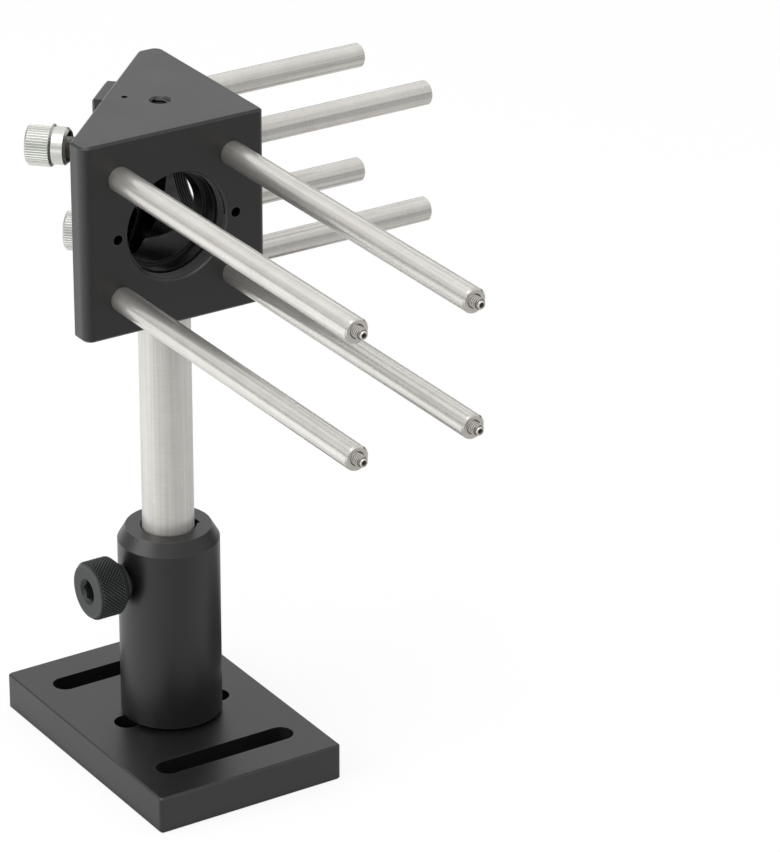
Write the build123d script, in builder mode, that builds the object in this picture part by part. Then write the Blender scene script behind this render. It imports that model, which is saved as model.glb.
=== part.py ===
"""Right-angle kinematic mirror mount on its post, holder and base, with its cage rods.

Frame: millimetres, +Z up, origin on the post's axis at the base's underside.
+X is the way the side rods point, -Y the way the front rods point.
The housing is a right-angle prism; its long back face looks along (-1, 1, 0).
Places on that face are given as across (along -X-Y, level) and up (from the cage axis),
and depths as distances outside the face, so that negative depths lie in the housing.
"""
import os
from math import cos, pi, sin, sqrt

from build123d import *

# Fits
thread_gap = 0.05
press_gap = 0.01
running_gap = 0.05
cup_gap = 0.1

# Base
base_width = 50.8
base_length = 76.2
base_height = 9.525
base_corner = 1.0
base_edge = 0.4
slot_length = 38.1
slot_width = 6.6
slot_from_centre = 25.4
spare_hole_d = 6.6
spare_hole_from_centre = 12.7

# Cap screw from the base into the holder
cap_thread_d = 6.35
cap_head_d = 9.525
cap_head_h = 6.35
cap_sunk = 6.6
cap_length = 9.525
cap_hex = 4.76
cap_hex_depth = 3.2
cap_clear_d = 6.6
cap_pocket_d = 10.7

# Post holder
holder_d = 25.0
holder_height = 50.8
holder_floor = 7.6
holder_cone_h = 3.3
holder_cone_in = 1.92
holder_foot_edge = 1.0
holder_mouth_edge = 0.6
relief_width = 7.0
relief_depth = 0.6
clamp_height = 38.5

# Thumbscrew
thumb_d = 14.7
thumb_length = 8.3
thumb_back_edge = 1.2
thumb_front_edge = 0.5
thumb_collar_d = 9.5
thumb_collar_length = 1.6
thumb_standoff = 0.5
thumb_thread_d = 6.35
thumb_hex = 4.76
thumb_hex_depth = 4.0
thumb_socket_mouth_d = 6.6
thumb_thread_short = 0.6
tip_d = 3.2
tip_length = 3.2
tip_head_edge = 0.3

# Post and the stud on its end
post_d = 12.7
post_length = 101.6
post_lift = 3.0
post_edge = 0.5
cross_hole_d = 3.2
cross_hole_up = 6.5
post_low_tap_d = 4.17
post_low_tap_depth = 12.0
stud_d = 6.35
stud_in_post = 9.5
stud_in_housing = 9.0
stud_hex = 3.18
stud_hex_depth = 3.0
stud_end_room = 0.4

# Cage
rod_d = 6.0
rod_spacing = 30.0
front_rod_length = 101.6
side_rod_length = 50.8
rod_edge = 0.4
rod_tap_d = 2.84
rod_tap_depth = 6.0
rod_tap_drill_d = 2.26
rod_tap_mouth_edge = 0.3
rod_root_depth = 5.0
rod_stud_length = 10.0
end_stud_length = 8.0
end_stud_out = 2.75
rod_stud_hex = 1.27
rod_stud_hex_depth = 1.3

# Housing
housing_height = 48.65
housing_face = 17.53
housing_end = 30.8
back_distance = 13.4
corner_round = 2.5
nose_round = 1.2
back_round = 0.7
housing_edge = 0.53
port_from_nose = 23.59
port_thread_d = 26.3
port_thread_depth = 4.0
port_step_d = 24.6
port_step_depth = 8.0
port_bore_d = 23.0
port_mouth_edge = 0.35
target_hole_d = 2.5
target_hole_from_port = 15.8
target_hole_depth = 4.0
top_tap_d = 4.17
top_tap_depth = 7.0
top_tap_mouth_d = 5.3
centre_mark_d = 1.6
centre_mark_depth = 2.0
stud_mouth_d = 7.2
key_notch_r = 2.8

# Mirror carriage in the back of the housing
carriage_width = 42.0
carriage_height = 41.2
carriage_thickness = 5.0
carriage_corner = 3.0
carriage_edge = 0.4
carriage_side_gap = 0.8
tilt_gap = 4.0
adjuster_across = 14.7
adjuster_up = 16.8
block_width = 12.2
block_drop = 12.2
block_top = 19.8
block_out = 5.6
block_edge = 0.6
cell_wall = 1.55
cell_floor = 1.25
mirror_d = 25.4
mirror_thickness = 6.0
mirror_edge = 0.3
mirror_gap = 0.05
lock_screw_d = 2.84
lock_screw_in = 1.9
lock_screw_sunk = 1.0
lock_screw_hex = 1.27
lock_screw_hex_depth = 1.5

# Pivot ball and adjusters
pivot_ball_d = 6.35
bushing_d = 6.35
bushing_flange_d = 7.5
bushing_flange_h = 0.8
adjuster_thread_d = 4.76
adjuster_ball_d = 3.0
adjuster_ball_out = 1.05
adjuster_rest_gap = 0.15
seat_d = 6.0
seat_thickness = 1.5
knob_start = 4.55
collar_d = 8.9
collar_length = 3.35
collar_edge = 0.6
grip_d = 10.2
grip_length = 6.35
grip_teeth = 48
grip_tooth_depth = 0.2
grip_edge = 0.6
knob_bore_d = 7.2
knob_bore_depth = 5.5
knob_end_sink = 1.0
adjuster_hex = 2.0
adjuster_hex_depth = 2.5

# Springs between housing and carriage
spring_sites = ((4.0, 17.2), (-17.6, -10.5))
spring_d = 3.6
spring_wire = 0.45
spring_eye_d = 1.7
spring_bore_d = 5.0
spring_foot_gap = 0.3
spring_end_room = 1.6
spring_stretch_room = 1.5
anchor_d = 2.2
anchor_neck_d = 0.9
anchor_head_d = 1.9
anchor_head_h = 0.6
anchor_in_housing = 3.0
cap_flange_d = 5.8
cap_flange_h = 0.8

# Heights and places that follow
holder_top = base_height + holder_height
clamp_z = base_height + clamp_height
post_bottom = base_height + holder_floor + post_lift
post_top = post_bottom + post_length
cage_z = post_top + housing_height / 2
port_offset = port_from_nose - housing_face
root_two = sqrt(2)
back_line = back_distance * root_two
mirror_depth = port_offset * root_two - back_distance
floor_depth = -(carriage_thickness + tilt_gap)
floor_line = (back_distance + floor_depth) * root_two
recess_width = carriage_width + 2 * carriage_side_gap
recess_height = carriage_height + 2 * carriage_side_gap
bore_reach = housing_face - port_offset + port_bore_d / 2 + floor_line
holder_bore_d = post_d + 2 * running_gap
mirror_back = mirror_depth + mirror_thickness
cell_d = mirror_d + 2 * mirror_gap

# The two ports, each looking out of its face, and the back face
front_face = Plane(origin=(-port_offset, -housing_face, cage_z), x_dir=(1, 0, 0), z_dir=(0, -1, 0))
side_face = Plane(origin=(housing_face, port_offset, cage_z), x_dir=(0, 1, 0), z_dir=(1, 0, 0))
back_centre = (-back_distance / root_two, back_distance / root_two, cage_z)
back_face = Plane(origin=back_centre, x_dir=(-1, -1, 0), z_dir=(-1, 1, 0))
clamp_plane = Plane(origin=(0, 0, clamp_z), x_dir=(0, -1, 0), z_dir=(-1, 0, 0))

upper_site = (adjuster_across, adjuster_up)
lower_site = (-adjuster_across, -adjuster_up)
pivot_site = (-adjuster_across, adjuster_up)


def back_plane(depth):
    """A plane parallel to the back face, this far outside it."""
    return back_face.offset(depth)


def sited(plane, site):
    """The plane moved within itself to a place on the back face."""
    return Plane(
        origin=plane.from_local_coords((site[0], site[1], 0)), x_dir=plane.x_dir, z_dir=plane.z_dir
    )


def finish(builder, name):
    """Label a finished piece and write it."""
    builder.part.label = name
    export_step(builder.part, f"parts/{name}.step")


os.makedirs("parts", exist_ok=True)

# Base plate with its slots, spare holes and the pocket for the cap screw
with BuildPart() as base_plate:
    with BuildSketch(Plane.XY):
        RectangleRounded(base_width, base_length, base_corner)
    extrude(amount=base_height)
    chamfer(base_plate.faces().sort_by(Axis.Z)[-1].edges(), base_edge)
    chamfer(base_plate.faces().sort_by(Axis.Z)[0].edges(), base_edge)
    with BuildSketch(Plane.XY):
        with Locations((0, -slot_from_centre), (0, slot_from_centre)):
            SlotOverall(slot_length, slot_width)
        with Locations((-spare_hole_from_centre, 0), (spare_hole_from_centre, 0)):
            Circle(spare_hole_d / 2)
        Circle(cap_clear_d / 2)
    extrude(amount=base_height, mode=Mode.SUBTRACT)
    with BuildSketch(Plane.XY):
        Circle(cap_pocket_d / 2)
    extrude(amount=cap_sunk, mode=Mode.SUBTRACT)
finish(base_plate, "base_plate")

# Cap screw, head down in the base's pocket
with BuildPart() as base_cap_screw:
    with BuildSketch(Plane.XY.offset(cap_sunk - cap_head_h)):
        Circle(cap_head_d / 2)
        RegularPolygon(cap_hex / 2, 6, major_radius=False, mode=Mode.SUBTRACT)
    extrude(amount=cap_hex_depth)
    with BuildSketch(Plane.XY.offset(cap_sunk - cap_head_h + cap_hex_depth)):
        Circle(cap_head_d / 2)
    extrude(amount=cap_head_h - cap_hex_depth)
    with BuildSketch(Plane.XY.offset(cap_sunk)):
        Circle(cap_thread_d / 2)
    extrude(amount=cap_length)
    chamfer(base_cap_screw.faces().sort_by(Axis.Z)[-1].edges(), post_edge)
finish(base_cap_screw, "base_cap_screw")

# Post holder: turned body, blind bore with a relief opposite the clamp, tapped clamp hole
with BuildPart() as post_holder:
    with BuildSketch(Plane.XY.offset(base_height)):
        Circle(holder_d / 2)
    extrude(amount=holder_height)
    chamfer(post_holder.faces().sort_by(Axis.Z)[-1].edges(), holder_cone_h, holder_cone_in)
    chamfer(post_holder.faces().sort_by(Axis.Z)[0].edges(), holder_foot_edge)
    with BuildSketch(Plane.XY.offset(holder_top)):
        Circle(holder_bore_d / 2)
        with Locations((holder_bore_d / 4 + relief_depth / 2, 0)):
            Rectangle(holder_bore_d / 2 + relief_depth, relief_width)
    extrude(amount=holder_floor - holder_height, mode=Mode.SUBTRACT)
    with BuildSketch(Plane.XY.offset(holder_top)):
        Circle(holder_bore_d / 2 + holder_mouth_edge)
    extrude(amount=-holder_mouth_edge, taper=45, mode=Mode.SUBTRACT)
    with BuildSketch(Plane.XY.offset(base_height)):
        Circle(cap_thread_d / 2 + thread_gap)
    extrude(amount=holder_floor, mode=Mode.SUBTRACT)
    with BuildSketch(clamp_plane):
        Circle(thumb_thread_d / 2 + thread_gap)
    extrude(amount=holder_d / 2, mode=Mode.SUBTRACT)
finish(post_holder, "post_holder")

# Thumbscrew: knob, collar and threaded stem, hollow at its end for the tip
thumb_stem_end = holder_bore_d / 2 + thumb_thread_short
thumb_collar_start = holder_d / 2 + thumb_standoff
thumb_start = thumb_collar_start + thumb_collar_length
thumb_end = thumb_start + thumb_length
tip_start = post_d / 2 + running_gap
with BuildPart() as clamp_thumbscrew:
    with BuildSketch(clamp_plane.offset(thumb_start)):
        Circle(thumb_d / 2)
    extrude(amount=thumb_length)
    chamfer(clamp_thumbscrew.faces().sort_by(Axis.X)[-1].edges(), thumb_back_edge)
    chamfer(clamp_thumbscrew.faces().sort_by(Axis.X)[0].edges(), thumb_front_edge)
    with BuildSketch(clamp_plane.offset(thumb_collar_start)):
        Circle(thumb_collar_d / 2)
    extrude(amount=thumb_collar_length)
    with BuildSketch(clamp_plane.offset(thumb_stem_end)):
        Circle(thumb_thread_d / 2)
    extrude(amount=thumb_collar_start - thumb_stem_end)
    with BuildSketch(clamp_plane.offset(thumb_end)):
        RegularPolygon(thumb_hex / 2, 6, major_radius=False)
    extrude(amount=-thumb_hex_depth, mode=Mode.SUBTRACT)
    with BuildSketch(clamp_plane.offset(thumb_end)):
        Circle(thumb_socket_mouth_d / 2)
    extrude(amount=-(thumb_socket_mouth_d - thumb_hex) / 2, taper=45, mode=Mode.SUBTRACT)
    with BuildSketch(clamp_plane.offset(thumb_stem_end)):
        Circle(tip_d / 2 + running_gap)
    extrude(amount=tip_start + tip_length - thumb_stem_end, mode=Mode.SUBTRACT)
finish(clamp_thumbscrew, "clamp_thumbscrew")

# Soft tip that presses on the post
with BuildPart() as clamp_tip:
    with BuildSketch(clamp_plane.offset(tip_start)):
        Circle(tip_d / 2)
    extrude(amount=tip_length)
    chamfer(clamp_tip.faces().sort_by(Axis.X)[-1].edges(), tip_head_edge)
finish(clamp_tip, "clamp_tip")

# Post: its wide tap upward, its narrow tap and cross hole at the low end
with BuildPart() as post:
    with BuildSketch(Plane.XY.offset(post_bottom)):
        Circle(post_d / 2)
    extrude(amount=post_length)
    chamfer(post.faces().sort_by(Axis.Z)[-1].edges(), post_edge)
    chamfer(post.faces().sort_by(Axis.Z)[0].edges(), post_edge)
    with BuildSketch(Plane.XY.offset(post_top)):
        Circle(stud_d / 2 + thread_gap)
    extrude(amount=-(stud_in_post + stud_end_room), mode=Mode.SUBTRACT)
    with BuildSketch(Plane.XY.offset(post_bottom)):
        Circle(post_low_tap_d / 2)
    extrude(amount=post_low_tap_depth, mode=Mode.SUBTRACT)
    with BuildSketch(Plane.YZ):
        with Locations((0, post_bottom + cross_hole_up)):
            Circle(cross_hole_d / 2)
    extrude(amount=post_d, both=True, mode=Mode.SUBTRACT)
finish(post, "post")

# Headless stud that joins post and housing
with BuildPart() as post_stud:
    with BuildSketch(Plane.XY.offset(post_top - stud_in_post)):
        Circle(stud_d / 2)
    extrude(amount=stud_in_post + stud_in_housing)
    chamfer(post_stud.faces().sort_by(Axis.Z)[-1].edges(), post_edge)
    chamfer(post_stud.faces().sort_by(Axis.Z)[0].edges(), post_edge)
    with BuildSketch(Plane.XY.offset(post_top + stud_in_housing)):
        RegularPolygon(stud_hex / 2, 6, major_radius=False)
    extrude(amount=-stud_hex_depth, mode=Mode.SUBTRACT)
finish(post_stud, "post_stud")


# Housing: right-angle prism with cut-off ends, two ports and the carriage's recess
port_stages = (
    (port_thread_d, port_thread_depth),
    (port_step_d, port_step_depth),
    (port_bore_d, bore_reach),
)
with BuildPart() as housing:
    with BuildSketch(Plane.XY.offset(post_top)):
        with BuildLine():
            FilletPolyline(
                (-housing_end, -housing_face),
                (housing_face, -housing_face),
                (housing_face, housing_end),
                (housing_end - back_line, housing_end),
                (-housing_end, back_line - housing_end),
                radius=[corner_round, nose_round, corner_round, back_round, back_round],
                close=True,
            )
        make_face()
    extrude(amount=housing_height)
    chamfer(housing.faces().sort_by(Axis.Z)[-1].edges(), housing_edge)
    chamfer(housing.faces().sort_by(Axis.Z)[0].edges(), housing_edge)
    for face in (front_face, side_face):
        for diameter, depth in port_stages:
            with BuildSketch(face):
                Circle(diameter / 2)
            extrude(amount=-depth, mode=Mode.SUBTRACT)
        with BuildSketch(face):
            Circle(port_thread_d / 2 + port_mouth_edge)
        extrude(amount=-port_mouth_edge, taper=45, mode=Mode.SUBTRACT)
        with BuildSketch(face):
            with GridLocations(rod_spacing, rod_spacing, 2, 2):
                Circle(rod_tap_d / 2 + thread_gap)
        extrude(amount=-rod_root_depth, mode=Mode.SUBTRACT)
        with BuildSketch(face):
            with GridLocations(2 * target_hole_from_port, 0, 2, 1):
                Circle(target_hole_d / 2)
        extrude(amount=-target_hole_depth, mode=Mode.SUBTRACT)
    with BuildSketch(back_plane(floor_depth)):
        RectangleRounded(recess_width, recess_height, carriage_corner + carriage_side_gap)
    extrude(amount=back_distance, mode=Mode.SUBTRACT)
    with BuildSketch(back_plane(floor_depth)):
        with Locations(upper_site, lower_site):
            Circle(seat_d / 2 + press_gap)
    extrude(amount=-seat_thickness, mode=Mode.SUBTRACT)
    with BuildSketch(back_plane(floor_depth)):
        with Locations(*spring_sites):
            Circle(anchor_d / 2 + press_gap)
    extrude(amount=-anchor_in_housing, mode=Mode.SUBTRACT)
    with Locations(sited(back_plane(-carriage_thickness - tilt_gap / 2), pivot_site).location):
        Sphere(pivot_ball_d / 2 + cup_gap, mode=Mode.SUBTRACT)
    with BuildSketch(Plane.XY.offset(post_top + housing_height)):
        Circle(top_tap_d / 2 + thread_gap)
    extrude(amount=-top_tap_depth, mode=Mode.SUBTRACT)
    with BuildSketch(Plane.XY.offset(post_top + housing_height)):
        Circle(top_tap_mouth_d / 2)
    extrude(amount=-(top_tap_mouth_d - top_tap_d) / 2, taper=45, mode=Mode.SUBTRACT)
    with BuildSketch(Plane.XY.offset(post_top + housing_height)):
        with Locations((-port_offset, port_offset)):
            Circle(centre_mark_d / 2)
    extrude(amount=-centre_mark_depth, mode=Mode.SUBTRACT)
    with BuildSketch(Plane.XY.offset(post_top)):
        Circle(stud_d / 2 + thread_gap)
    extrude(amount=stud_in_housing + stud_end_room, mode=Mode.SUBTRACT)
    with BuildSketch(Plane.XY.offset(post_top)):
        Circle(stud_mouth_d / 2)
    extrude(amount=(stud_mouth_d - stud_d) / 2, taper=45, mode=Mode.SUBTRACT)
    with BuildSketch(Plane.XY.offset(post_top)):
        with Locations((back_centre[0], back_centre[1])):
            Circle(key_notch_r)
    extrude(amount=(housing_height - recess_height) / 2, mode=Mode.SUBTRACT)
finish(housing, "housing")


def cage_rod(face, place, length, end_bore_d):
    """One rod standing on a face at a place in the face's own X and Y, tapped at both ends."""
    foot = Plane(
        origin=face.from_local_coords((place[0], place[1], 0)), x_dir=face.x_dir, z_dir=face.z_dir
    )
    with BuildPart() as rod:
        with BuildSketch(foot):
            Circle(rod_d / 2)
        extrude(amount=length)
        end = rod.faces().sort_by(Axis(foot.origin, foot.z_dir))[-1]
        chamfer(end.edges(), rod_edge)
        with BuildSketch(foot):
            Circle(rod_tap_d / 2 + thread_gap)
        extrude(amount=rod_tap_depth, mode=Mode.SUBTRACT)
        with BuildSketch(foot.offset(length)):
            Circle(end_bore_d / 2)
        extrude(amount=-rod_tap_depth, mode=Mode.SUBTRACT)
        with BuildSketch(foot.offset(length)):
            Circle(end_bore_d / 2 + rod_tap_mouth_edge)
        extrude(amount=-rod_tap_mouth_edge, taper=45, mode=Mode.SUBTRACT)
    return rod


# A front rod's end tap clears the stud in it; a side rod's is empty, at its drill's size
half_cage = rod_spacing / 2
filled_tap_d = rod_tap_d + 2 * thread_gap
rod_places = {
    "front_rod_upper_left": (front_face, (-half_cage, half_cage), front_rod_length, filled_tap_d),
    "front_rod_upper_right": (front_face, (half_cage, half_cage), front_rod_length, filled_tap_d),
    "front_rod_lower_left": (front_face, (-half_cage, -half_cage), front_rod_length, filled_tap_d),
    "front_rod_lower_right": (front_face, (half_cage, -half_cage), front_rod_length, filled_tap_d),
    "side_rod_upper_front": (side_face, (-half_cage, half_cage), side_rod_length, rod_tap_drill_d),
    "side_rod_upper_back": (side_face, (half_cage, half_cage), side_rod_length, rod_tap_drill_d),
    "side_rod_lower_front": (side_face, (-half_cage, -half_cage), side_rod_length, rod_tap_drill_d),
    "side_rod_lower_back": (side_face, (half_cage, -half_cage), side_rod_length, rod_tap_drill_d),
}
for rod_name, (rod_face, rod_place, rod_length, rod_end_bore_d) in rod_places.items():
    finish(cage_rod(rod_face, rod_place, rod_length, rod_end_bore_d), rod_name)

# Headless screws that hold the rods to the housing, half in each
root_stud_bottom = rod_root_depth - stud_end_room
with BuildPart() as rod_root_studs:
    for face in (front_face, side_face):
        with BuildSketch(face.offset(-root_stud_bottom)):
            with GridLocations(rod_spacing, rod_spacing, 2, 2):
                Circle(rod_tap_d / 2)
        extrude(amount=rod_stud_length)
finish(rod_root_studs, "rod_root_studs")

# Headless screws left in the front rods' free ends, with a hex socket outward
with BuildPart() as rod_end_studs:
    with BuildSketch(front_face.offset(front_rod_length + end_stud_out)):
        with GridLocations(rod_spacing, rod_spacing, 2, 2):
            Circle(rod_tap_d / 2)
    extrude(amount=-end_stud_length)
    with BuildSketch(front_face.offset(front_rod_length + end_stud_out)):
        with GridLocations(rod_spacing, rod_spacing, 2, 2):
            RegularPolygon(rod_stud_hex / 2, 6, major_radius=False)
    extrude(amount=-rod_stud_hex_depth, mode=Mode.SUBTRACT)
finish(rod_end_studs, "rod_end_studs")

# Mirror carriage: plate, mirror cell and the thicker block over the pivot ball
block_across = carriage_width / 2 - carriage_edge - block_width / 2
lock_screw_plane = Plane(
    origin=back_plane(-lock_screw_in).from_local_coords((0, -carriage_height / 2, 0)),
    x_dir=(1, 1, 0),
    z_dir=(0, 0, 1),
)
with BuildPart() as mirror_carriage:
    with BuildSketch(back_plane(-carriage_thickness)):
        RectangleRounded(carriage_width, carriage_height, carriage_corner)
    extrude(amount=carriage_thickness)
    plate_face = mirror_carriage.faces().sort_by(Axis(back_face.origin, back_face.z_dir))[-1]
    chamfer(plate_face.edges(), carriage_edge)
    with BuildSketch(back_face):
        with Locations((-block_across, block_top - block_drop / 2)):
            Rectangle(block_width, block_drop)
    extrude(amount=block_out)
    block_face = mirror_carriage.faces().sort_by(Axis(back_face.origin, back_face.z_dir))[-1]
    chamfer(block_face.edges(), block_edge)
    with BuildSketch(back_face):
        Circle(cell_d / 2 + cell_wall)
    extrude(amount=mirror_back + mirror_gap + cell_floor)
    with BuildSketch(back_plane(-carriage_thickness)):
        Circle(cell_d / 2)
    extrude(amount=carriage_thickness + mirror_back + mirror_gap, mode=Mode.SUBTRACT)
    with BuildSketch(back_plane(-carriage_thickness)):
        with Locations(upper_site, lower_site):
            Circle(bushing_d / 2 + press_gap)
        with Locations(*spring_sites):
            Circle(spring_bore_d / 2)
    extrude(amount=carriage_thickness, mode=Mode.SUBTRACT)
    with BuildSketch(back_face):
        with Locations(*spring_sites):
            Circle(cap_flange_d / 2 + press_gap)
    extrude(amount=-cap_flange_h, mode=Mode.SUBTRACT)
    with Locations(sited(back_plane(-carriage_thickness - tilt_gap / 2), pivot_site).location):
        Sphere(pivot_ball_d / 2 + cup_gap, mode=Mode.SUBTRACT)
    with BuildSketch(lock_screw_plane):
        Circle(lock_screw_d / 2 + thread_gap)
    extrude(amount=(carriage_height - cell_d) / 2 + mirror_gap, mode=Mode.SUBTRACT)
finish(mirror_carriage, "mirror_carriage")

# Round mirror, its silvered face towards the ports
with BuildPart() as mirror:
    with BuildSketch(back_plane(mirror_depth)):
        Circle(mirror_d / 2)
    extrude(amount=mirror_thickness)
    chamfer(mirror.faces().filter_by(GeomType.PLANE).edges(), mirror_edge)
finish(mirror, "mirror")

# Headless screw that locks the mirror from below
lock_screw_length = (carriage_height - mirror_d) / 2 - lock_screw_sunk - mirror_gap
with BuildPart() as mirror_lock_screw:
    with BuildSketch(lock_screw_plane.offset(lock_screw_sunk)):
        Circle(lock_screw_d / 2)
    extrude(amount=lock_screw_length)
    with BuildSketch(lock_screw_plane.offset(lock_screw_sunk)):
        RegularPolygon(lock_screw_hex / 2, 6, major_radius=False)
    extrude(amount=lock_screw_hex_depth, mode=Mode.SUBTRACT)
finish(mirror_lock_screw, "mirror_lock_screw")

# Ball that the carriage pivots on
with BuildPart() as pivot_ball:
    with Locations(sited(back_plane(-carriage_thickness - tilt_gap / 2), pivot_site).location):
        Sphere(pivot_ball_d / 2)
finish(pivot_ball, "pivot_ball")

# Depths of an adjuster's pieces
ball_centre = floor_depth + adjuster_rest_gap + adjuster_ball_d / 2
screw_start = ball_centre - adjuster_ball_d / 2 + adjuster_ball_out
knob_end = knob_start + collar_length + grip_length
screw_end = knob_end - knob_end_sink


def adjuster_bushing(site):
    """Threaded bushing, flanged outside the carriage."""
    with BuildPart() as bushing:
        with BuildSketch(sited(back_plane(-carriage_thickness), site)):
            Circle(bushing_d / 2)
        extrude(amount=carriage_thickness)
        with BuildSketch(sited(back_face, site)):
            Circle(bushing_flange_d / 2)
        extrude(amount=bushing_flange_h)
        with BuildSketch(sited(back_plane(-carriage_thickness), site)):
            Circle(adjuster_thread_d / 2 + thread_gap)
        extrude(amount=carriage_thickness + bushing_flange_h, mode=Mode.SUBTRACT)
    return bushing


def adjuster_screw(site):
    """Fine screw with a cup for its ball at one end and a hex socket at the other."""
    with BuildPart() as screw:
        with BuildSketch(sited(back_plane(screw_start), site)):
            Circle(adjuster_thread_d / 2)
        extrude(amount=screw_end - screw_start)
        with Locations(sited(back_plane(ball_centre), site).location):
            Sphere(adjuster_ball_d / 2 + running_gap, mode=Mode.SUBTRACT)
        with BuildSketch(sited(back_plane(screw_end), site)):
            RegularPolygon(adjuster_hex / 2, 6, major_radius=False)
        extrude(amount=-adjuster_hex_depth, mode=Mode.SUBTRACT)
    return screw


def adjuster_knob(site):
    """Straight-knurled grip with a smooth hollow collar towards the carriage."""
    grip_start = knob_start + collar_length
    grip_r = grip_d / 2
    root_r = grip_r - grip_tooth_depth
    teeth = []
    for half_step in range(4 * grip_teeth):
        turn = half_step * pi / (2 * grip_teeth)
        radius = grip_r if half_step % 4 < 2 else root_r
        teeth.append((radius * cos(turn), radius * sin(turn)))
    with BuildPart() as knob:
        with BuildSketch(sited(back_plane(grip_start), site)):
            Circle(grip_r)
        extrude(amount=grip_length)
        chamfer(knob.faces().filter_by(GeomType.PLANE).edges(), grip_edge)
        with BuildSketch(sited(back_plane(grip_start), site)):
            with BuildLine():
                Polyline(*teeth, close=True)
            make_face()
        extrude(amount=grip_length, mode=Mode.INTERSECT)
        with BuildSketch(sited(back_plane(knob_start), site)):
            Circle(collar_d / 2)
        extrude(amount=collar_length)
        inner_face = knob.faces().sort_by(Axis(back_face.origin, back_face.z_dir))[0]
        chamfer(inner_face.edges(), collar_edge)
        with BuildSketch(sited(back_plane(knob_start), site)):
            Circle(knob_bore_d / 2)
        extrude(amount=knob_bore_depth, mode=Mode.SUBTRACT)
        with BuildSketch(sited(back_plane(knob_start), site)):
            Circle(adjuster_thread_d / 2 + press_gap)
        extrude(amount=knob_end - knob_start, mode=Mode.SUBTRACT)
    return knob


def adjuster_ball(site):
    """Ball at the screw's end."""
    with BuildPart() as ball:
        with Locations(sited(back_plane(ball_centre), site).location):
            Sphere(adjuster_ball_d / 2)
    return ball


def adjuster_seat(site):
    """Hard disc in the recess's floor, under the ball."""
    with BuildPart() as seat:
        with BuildSketch(sited(back_plane(floor_depth), site)):
            Circle(seat_d / 2)
        extrude(amount=-seat_thickness)
    return seat


for place, site in (("upper", upper_site), ("lower", lower_site)):
    finish(adjuster_bushing(site), f"adjuster_bushing_{place}")
    finish(adjuster_screw(site), f"adjuster_screw_{place}")
    finish(adjuster_knob(site), f"adjuster_knob_{place}")
    finish(adjuster_ball(site), f"adjuster_ball_{place}")
    finish(adjuster_seat(site), f"adjuster_seat_{place}")

# Springs: close-wound coils, each narrowed at both ends to an eye behind a peg's head
spring_start = floor_depth + spring_foot_gap
spring_end = -cap_flange_h - spring_end_room
anchor_head_low = spring_start + spring_wire + running_gap
cap_head_top = spring_end - spring_wire - spring_stretch_room


def tension_spring(site):
    """Close-wound coil as one tube, with an eye at each end."""
    with BuildPart() as spring:
        with BuildSketch(sited(back_plane(spring_start), site)):
            Circle(spring_d / 2)
        extrude(amount=spring_end - spring_start)
        with BuildSketch(sited(back_plane(spring_start + spring_wire), site)):
            Circle(spring_d / 2 - spring_wire)
        extrude(amount=spring_end - spring_start - 2 * spring_wire, mode=Mode.SUBTRACT)
        with BuildSketch(sited(back_plane(spring_start), site)):
            Circle(spring_eye_d / 2)
        extrude(amount=spring_end - spring_start, mode=Mode.SUBTRACT)
    return spring


for place, site in zip(("upper", "lower"), spring_sites):
    finish(tension_spring(site), f"tension_spring_{place}")

# Pegs in the recess's floor that hold the springs' inner ends
with BuildPart() as spring_anchors:
    for site in spring_sites:
        with BuildSketch(sited(back_plane(floor_depth), site)):
            Circle(anchor_d / 2)
        extrude(amount=-anchor_in_housing)
        with BuildSketch(sited(back_plane(floor_depth), site)):
            Circle(anchor_neck_d / 2)
        extrude(amount=anchor_head_low - floor_depth)
        with BuildSketch(sited(back_plane(anchor_head_low), site)):
            Circle(anchor_head_d / 2)
        extrude(amount=anchor_head_h)
finish(spring_anchors, "spring_anchors")

# Pegs flanged in the carriage's back that hold the springs' outer ends
with BuildPart() as spring_caps:
    for site in spring_sites:
        with BuildSketch(sited(back_face, site)):
            Circle(cap_flange_d / 2)
        extrude(amount=-cap_flange_h)
        with BuildSketch(sited(back_plane(-cap_flange_h), site)):
            Circle(anchor_neck_d / 2)
        extrude(amount=cap_head_top + cap_flange_h)
        with BuildSketch(sited(back_plane(cap_head_top), site)):
            Circle(anchor_head_d / 2)
        extrude(amount=-anchor_head_h)
finish(spring_caps, "spring_caps")
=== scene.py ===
"""Looks of the right-angle mirror mount on its post, holder and base.

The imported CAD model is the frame: its nodes keep their shapes and get their finishes here.
Threads, the thumbscrew's knurl and the coils of the springs are modelled as new pieces.
Lengths are metres, +Z up, the post's axis at X = Y = 0.
"""
from math import pi, radians, sqrt

import bmesh
import bpy
from bpy.props import FloatProperty, FloatVectorProperty, IntProperty, PointerProperty
from mathutils import Euler, Matrix, Vector


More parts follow.
